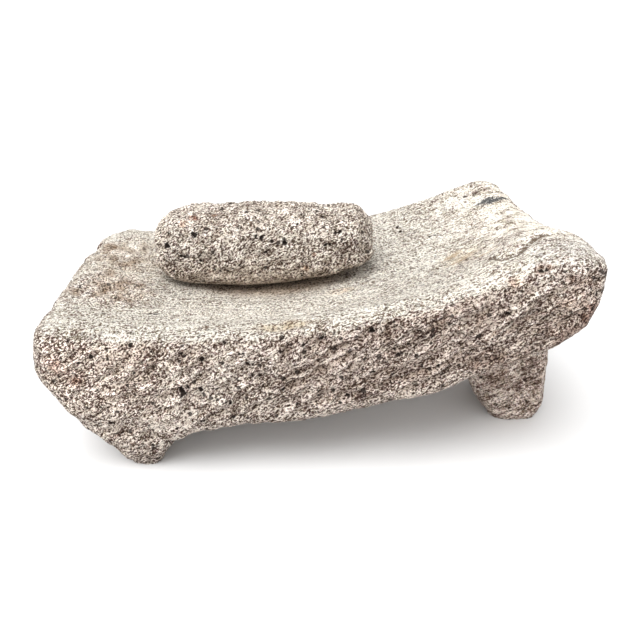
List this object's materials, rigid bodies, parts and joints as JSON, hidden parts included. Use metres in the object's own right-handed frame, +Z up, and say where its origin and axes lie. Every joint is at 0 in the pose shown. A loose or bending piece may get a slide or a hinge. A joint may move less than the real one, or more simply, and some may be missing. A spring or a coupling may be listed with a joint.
{
  "type": "saddle quern stone",
  "caption": "Footed saddle quern carved from vesicular basalt, with a sagging hollowed slab and a loaf-shaped handstone lying in the hollow.",
  "frame": {"origin": "middle of the whole object's footprint box, on the ground under the feet", "axes": "+X along the slab towards its raised end, which has the single leg; +Y across the slab away from the side with the broad worn rim; +Z up"},
  "size_m": [0.427, 0.245, 0.1828],
  "materials": {
    "quern_basalt": "vesicular basalt: rough, pitted and grey-brown on the carved sides, paler and worn smooth along the hollow and its rims",
    "handstone_basalt": "coarse vesicular basalt, grey-brown with open black pores, worn a little smoother underneath"
  },
  "bodies": {
    "root": {"quern_slab": "quern_basalt", "handstone": "handstone_basalt"}
  },
  "joints": []
}
